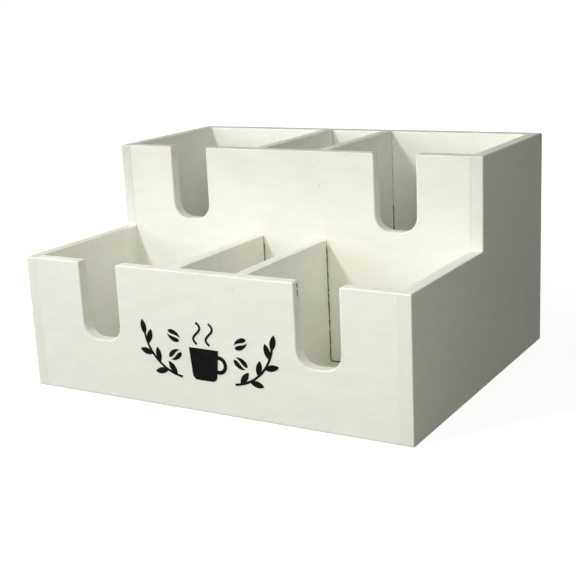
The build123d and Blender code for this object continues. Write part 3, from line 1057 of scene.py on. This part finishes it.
def steel(name):
    """Steel wire that has dulled a little."""
    finish = bpy.context.scene.organizer_finish
    wiring, shader, spot = new_material(name)
    dull = wiring.noise(spot, scale=900.0, detail=4.0)
    spots = wiring.remap(dull, 0.5, 0.68)
    wiring.set(shader.inputs["Metallic"], wiring.remap(spots, 0, 1, 1.0, 0.55))
    tone = wiring.blend(spots, solid(finish.steel), solid(finish.tarnish))
    rough = wiring.remap(dull, 0.3, 0.7, 0.28, 0.6)
    feed(wiring, shader, tone, rough, dull, strength=0.6, distance=0.00002)


def black_print(name):
    """Black printed film, a little uneven in gloss."""
    finish = bpy.context.scene.organizer_finish
    wiring, shader, spot = new_material(name, specular=0.04)
    cloud = wiring.noise(spot, scale=220.0, detail=4.0)
    streak = wiring.group("Brush Streaks", vector=spot, stroke_length=0.02)["Streak"]
    faded = solid(value * 2 for value in finish.print_black)
    tone = wiring.blend(wiring.remap(cloud, 0.35, 0.7), solid(finish.print_black), faded)
    rough = wiring.remap(cloud, 0.3, 0.7, 0.5, 0.62)
    feed(wiring, shader, tone, rough, streak, strength=0.5, distance=0.00003)


def material_named(name):
    """A material that was made before."""
    return bpy.data.materials[name]


class ORGANIZER_OT_materials(bpy.types.Operator):
    """Make the paint, wood, steel, filler and print"""

    bl_idname = "organizer.materials"
    bl_label = "Materials"

    def execute(self, context):
        finish = context.scene.organizer_finish
        for make_effect in SHARED_EFFECTS:
            make_effect()
        side_middle = (side_low.x + side_high.x) / 2
        divider_middle = (divider_low.x + divider_high.x) / 2
        # Each paint's name, the board's grain and broad faces, the pattern's shift and the middle plane
        painted("paint_front", "X", "Y", 0.11, (front_low.y + front_high.y) / 2, warm=0.45)
        painted("paint_tier", "X", "Y", 0.37, (tier_low.y + tier_high.y) / 2, handled=0.12)
        painted("paint_back", "X", "Y", 0.62, (back_low.y + back_high.y) / 2)
        painted("paint_left_side", "Y", "X", 0.21, -side_middle, rims=0.85, low_rims_dust_and_shade=0.5, handled=0.3)
        painted("paint_right_side", "Y", "X", 0.53, side_middle, warm=0.8, rims=0.78, handled=0.2)
        painted("paint_left_dividers", "Y", "X", 0.77, -divider_middle, rims=0.75, scuffed=0.1)
        painted("paint_right_dividers", "Y", "X", 0.86, divider_middle, rims=0.78, scuffed=0.1)
        painted("paint_floor", "X", "Z", 0.91)
        painted("paint_corners", "X", "Z", 0.31)
        painted("paint_on_filler", "X", "Y", 0.47, handled=0.12)
        bare_wood("bare_wood")
        crumbs("pinhole_grime", finish.rim_dust_and_shade, finish.thin_paint)
        crumbs("corner_dust", finish.grime, finish.thin_paint)
        crumbs("torn_paint", finish.grime, finish.glue_line)
        crumbs("gap_dirt", finish.dirt, finish.grime, closed=0.25)
        crumbs("gap_paint", finish.thin_paint, finish.glue_line)
        steel("brad_wire")
        black_print("printed_black")
        return {"FINISHED"}


class ORGANIZER_OT_sides(bpy.types.Operator):
    """Model the two stepped side boards"""

    bl_idname = "organizer.sides"
    bl_label = "Side Boards"

    def execute(self, context):
        left = side_board("left_side_board", "left_side_panel", "left_side_filler",
                          material_named("paint_left_side"), seed=1)
        right_paint = material_named("paint_right_side")
        right = side_board("right_side_board", "right_side_panel", "right_side_filler",
                           right_paint, seed=2)
        cut_away(right, knock(right_paint))
        finish_board(left, "left_side_panel")
        finish_board(right, "right_side_panel")
        return {"FINISHED"}


class ORGANIZER_OT_notched_boards(bpy.types.Operator):
    """Model the front board and the board between the tiers"""

    bl_idname = "organizer.notched_boards"
    bl_label = "Notched Boards"

    def execute(self, context):
        front_paint = material_named("paint_front")
        front = notched_board("front_board", "front_panel", front_paint, seed=3)
        cut_away(front, floor_recess(front_paint))
        cut_away(front, bores("front_panel_filler", front_paint))
        cut_away(front, tear_out(material_named("torn_paint")))
        tier_paint = material_named("paint_tier")
        tier = notched_board("tier_board", "tier_panel", tier_paint, seed=4)
        cut_away(tier, bores("tier_panel_filler", tier_paint))
        finish_board(front, "front_panel")
        finish_board(tier, "tier_panel")
        return {"FINISHED"}


class ORGANIZER_OT_back_board(bpy.types.Operator):
    """Model the back board"""

    bl_idname = "organizer.back_board"
    bl_label = "Back Board"

    def execute(self, context):
        sizes = context.scene.organizer_sizes
        paint = material_named("paint_back")
        board = box_piece("back_board", back_low, back_high, paint)
        round_edges(board, lambda edge: lies_at(edge, z=back_high.z) and runs_along(edge, "X"),
                    sizes.rim_rounding)
        round_edges(board, lambda edge: lies_at(edge, y=back_high.y) and runs_along(edge, "Z"),
                    sizes.joint_softening, segments=1)
        round_edges(board, lambda edge: lies_at(edge, y=back_high.y, z=back_low.z),
                    sizes.foot_rounding, segments=2)
        sand_by_hand(board, "X", seed=5)
        cut_away(board, floor_recess(paint))
        cut_away(board, bores("back_panel_filler", paint))
        finish_board(board, "back_panel")
        return {"FINISHED"}


class ORGANIZER_OT_dividers(bpy.types.Operator):
    """Model the four dividers"""

    bl_idname = "organizer.dividers"
    bl_label = "Dividers"

    def execute(self, context):
        sizes = context.scene.organizer_sizes
        for seed, node in enumerate(("front_divider_left", "front_divider_right",
                                     "rear_divider_left", "rear_divider_right"), 6):
            low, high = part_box(node)
            paint = material_named(f"paint_{node.rpartition('_')[2]}_dividers")
            board = box_piece(f"{node}_board", low, high, paint)
            round_edges(
                board,
                lambda edge: lies_at(edge, z=high.z) and runs_along(edge, "Y")
                or lies_at(edge, y=high.y) and runs_along(edge, "Z"),
                sizes.divider_rounding,
            )
            sand_by_hand(board, "Y", seed)
            finish_board(board, node)
        return {"FINISHED"}


class ORGANIZER_OT_floor_board(bpy.types.Operator):
    """Model the thin floor, painted above and bare below"""

    bl_idname = "organizer.floor_board"
    bl_label = "Floor"

    def execute(self, context):
        sizes = context.scene.organizer_sizes
        board = box_piece("floor_board", floor_low, floor_high, material_named("paint_floor"))
        board.data.materials.append(material_named("bare_wood"))
        round_edges(board, lambda edge: lies_at(edge, z=floor_low.z), sizes.foot_rounding, segments=2)
        sand_by_hand(board, "X", seed=12)
        with editing(board, "FACE"):
            pick(board, "faces", lambda face: middle(face).z < floor_low.z + sizes.foot_rounding)
            board.active_material_index = 1
            bpy.ops.object.material_slot_assign()
        finish_board(board, "floor_panel", "thin_board")
        return {"FINISHED"}


class ORGANIZER_OT_filler(bpy.types.Operator):
    """Model the filler over the brads"""

    bl_idname = "organizer.filler"
    bl_label = "Filler"

    def execute(self, context):
        finishes = material_named("paint_on_filler"), material_named("pinhole_grime")
        whole = filler_dab(*finishes, pinholed=False)
        open_dab = filler_dab(*finishes, pinholed=True)
        for node, outward in FILLED_FACES.items():
            turn = outward.to_track_quat("Z", "Y").to_matrix().to_4x4()
            dabs = []
            for number, place in enumerate(dab_places[node]):
                pattern = open_dab if number in PINHOLED.get(node, ()) else whole
                dab = pattern.copy()
                dab.data = pattern.data.copy()
                context.collection.objects.link(dab)
                surface = place + outward * context.scene.organizer_sizes.filler_depth / 2
                dab.data.transform(Matrix.Translation(surface) @ turn)
                dabs.append(dab)
            group = join(dabs, node.replace("panel_", "").replace("side_", "") + "_dabs")
            finish_piece(group, "filler", node)
        for pattern in (whole, open_dab):
            bpy.data.objects.remove(pattern)
        return {"FINISHED"}


class ORGANIZER_OT_corner_paint(bpy.types.Operator):
    """Model the paint in the inner corners, and the dirt, dust and painted shade in the gaps and
    crevices
    """

    bl_idname = "organizer.corner_paint"
    bl_label = "Corner Paint"

    def execute(self, context):
        beads = corner_beads(material_named("paint_corners"))
        dirt = joint_dirt(*(material_named(name) for name in ("gap_dirt", "gap_paint", "corner_dust")))
        for piece in (beads, dirt):
            smooth(piece)
            finish_piece(piece, "painted_board")
        return {"FINISHED"}


class ORGANIZER_OT_packed_parts(bpy.types.Operator):
    """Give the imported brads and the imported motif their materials"""

    bl_idname = "organizer.packed_parts"
    bl_label = "Brads and Motif"

    def execute(self, context):
        for name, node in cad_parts.items():
            if name.endswith("_brads") or name == "coffee_motif":
                look = "printed_black" if name == "coffee_motif" else "brad_wire"
                node.data.materials.clear()
                node.data.materials.append(material_named(look))
        return {"FINISHED"}


def seen_or_reflected(wiring):
    """Whether a ray comes from the camera, a gloss or a glass, and so sees the white studio."""
    path = wiring.add("ShaderNodeLightPath").outputs
    seen = wiring.math("MAXIMUM", path["Is Camera Ray"], path["Is Glossy Ray"])
    return wiring.math("MAXIMUM", seen, path["Is Transmission Ray"])


WHITE = (1.0, 1.0, 1.0)
GREENISH = (0.95, 1.0, 0.8)
# Name, degrees to the left, degrees up, distance, width, power and colour of each lamp
LAMPS = (
    ("left_softbox", 80, 22, 2.0, 0.9, 29.9, WHITE),
    ("key_light", 24, 36, 1.2, 0.15, 6.8, WHITE),
    ("front_fill", 0, 12, 2.0, 0.9, 4.6, WHITE),
    ("right_fill", -30, 25, 1.0, 0.3, 1.6, GREENISH),
    ("low_right_fill", -38, 22, 0.7, 0.25, 0.56, GREENISH),
    ("back_fill", 165, 8, 2.0, 0.9, 10.1, WHITE),
)


def soft_light(name, to_left, height, distance, width, power, tint):
    """A square softbox that looks at the middle of the organizer."""
    studio = bpy.context.scene.organizer_studio
    turn = Matrix.Rotation(math.radians(-to_left), 3, "Z")
    rise = Matrix.Rotation(math.radians(-height), 3, "X")
    away = turn @ rise @ -AXES["Y"]
    bpy.ops.object.select_all(action="DESELECT")
    bpy.ops.object.light_add(type="AREA", location=AXES["Z"] * tier_high.z / 2 + away * distance)
    lamp = bpy.context.object
    lamp.name = name
    lamp.rotation_euler = (-away).to_track_quat("-Z", "Y").to_euler()
    lamp.data.shape = "SQUARE"
    lamp.data.size = width
    lamp.data.energy = power * studio.light_level
    lamp.data.color = tint
    lamp.visible_camera = False


SENSOR = 36.0                           # width of the camera's sensor, in millimetres
TABLE_SIZE = 30.0
TABLE_DROP = 0.00005                    # how far the table lies below the organizer's foot
TABLE_BOUNCE = (0.15, 0.15, 0.14)       # what it throws back on the organizer
TABLE_SHADE = (0.2, 0.2, 0.2)           # what a shadow takes from it, as the camera sees it
GLOW_REACH = (0.25, 0.7)                # from where to where it turns from the shaded to the full glow
GLOW = (0.9, 1.0)


def table_material():
    """A pale table that the camera sees as white, with the organizer's shadow on it."""
    material = bpy.data.materials.new("pale_table")
    material.use_nodes = True
    material.node_tree.nodes.clear()
    wiring = Wiring(material.node_tree)
    spot = wiring.add("ShaderNodeTexCoord").outputs["Object"]
    away = wiring.add("ShaderNodeVectorMath", {0: spot}, operation="LENGTH").outputs["Value"]
    plain = wiring.add("ShaderNodeBsdfDiffuse", {"Color": solid(TABLE_BOUNCE)})
    faint = wiring.add("ShaderNodeBsdfDiffuse", {"Color": solid(TABLE_SHADE)})
    glow = wiring.add("ShaderNodeEmission", {
        "Color": solid(WHITE), "Strength": wiring.remap(away, *GLOW_REACH, *GLOW)})
    seen = wiring.add("ShaderNodeAddShader", {0: faint.outputs[0], 1: glow.outputs[0]})
    mix = wiring.add("ShaderNodeMixShader", {
        0: seen_or_reflected(wiring), 1: plain.outputs[0], 2: seen.outputs[0]})
    wiring.add("ShaderNodeOutputMaterial", {"Surface": mix.outputs[0]})
    return material


class ORGANIZER_OT_studio(bpy.types.Operator):
    """Set the table, the lights and the camera"""

    bl_idname = "organizer.studio"
    bl_label = "Studio"

    def execute(self, context):
        studio = context.scene.organizer_studio
        table = settled(new_piece(bpy.ops.mesh.primitive_plane_add, table_material(),
                                  size=TABLE_SIZE, location=(0, 0, -TABLE_DROP)))
        table.name = "table"

        for lamp in LAMPS:
            soft_light(*lamp)

        world = bpy.data.worlds.new("studio")
        context.scene.world = world
        world.use_nodes = True
        world.node_tree.nodes.clear()
        wiring = Wiring(world.node_tree)
        strength = wiring.math("MAXIMUM", seen_or_reflected(wiring), studio.even_light)
        white = wiring.add("ShaderNodeBackground", {"Color": solid(WHITE), "Strength": strength})
        wiring.add("ShaderNodeOutputWorld", {"Surface": white.outputs[0]})

        bpy.ops.object.camera_add(location=studio.camera_place)
        camera = context.object
        camera.name = "camera"
        camera.rotation_euler = (
            Matrix.Rotation(studio.camera_turn, 3, "Z")
            @ Matrix.Rotation(math.radians(90) + studio.camera_tilt, 3, "X")
            @ Matrix.Rotation(studio.camera_roll, 3, "Z")
        ).to_euler()
        camera.data.lens = studio.lens
        camera.data.sensor_width = SENSOR
        camera.data.clip_start = 0.01
        context.scene.camera = camera
        context.scene.view_settings.view_transform = "Standard"
        return {"FINISHED"}


STEPS = (
    ORGANIZER_OT_materials,
    ORGANIZER_OT_sides,
    ORGANIZER_OT_notched_boards,
    ORGANIZER_OT_back_board,
    ORGANIZER_OT_dividers,
    ORGANIZER_OT_floor_board,
    ORGANIZER_OT_filler,
    ORGANIZER_OT_corner_paint,
    ORGANIZER_OT_packed_parts,
    ORGANIZER_OT_studio,
)
SETTINGS = {
    "organizer_sizes": OrganizerSizes,
    "organizer_finish": OrganizerFinish,
    "organizer_studio": OrganizerStudio,
}


class ORGANIZER_PT_sidebar(bpy.types.Panel):
    """Lists the steps and the settings of the organizer"""

    bl_idname = "ORGANIZER_PT_sidebar"
    bl_label = "Coffee Station Organizer"
    bl_space_type = "VIEW_3D"
    bl_region_type = "UI"
    bl_category = "Organizer"

    def draw(self, context):
        for step in STEPS:
            self.layout.operator(step.bl_idname)
        for name, settings in SETTINGS.items():
            box = self.layout.box()
            for label in settings.__annotations__:
                box.prop(getattr(context.scene, name), label)


def register():
    """Make the settings, steps and sidebar known to Blender."""
    for made in (*SETTINGS.values(), *STEPS, ORGANIZER_PT_sidebar):
        bpy.utils.register_class(made)
    for name, settings in SETTINGS.items():
        setattr(bpy.types.Scene, name, PointerProperty(type=settings))


def unregister():
    """Take them away again."""
    for name in SETTINGS:
        delattr(bpy.types.Scene, name)
    for made in reversed((*SETTINGS.values(), *STEPS, ORGANIZER_PT_sidebar)):
        bpy.utils.unregister_class(made)


def main():
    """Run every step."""
    register()
    bpy.ops.organizer.materials()
    bpy.ops.organizer.sides()
    bpy.ops.organizer.notched_boards()
    bpy.ops.organizer.back_board()
    bpy.ops.organizer.dividers()
    bpy.ops.organizer.floor_board()
    bpy.ops.organizer.filler()
    bpy.ops.organizer.corner_paint()
    bpy.ops.organizer.packed_parts()
    bpy.ops.organizer.studio()


if __name__ == "__main__":
    main()
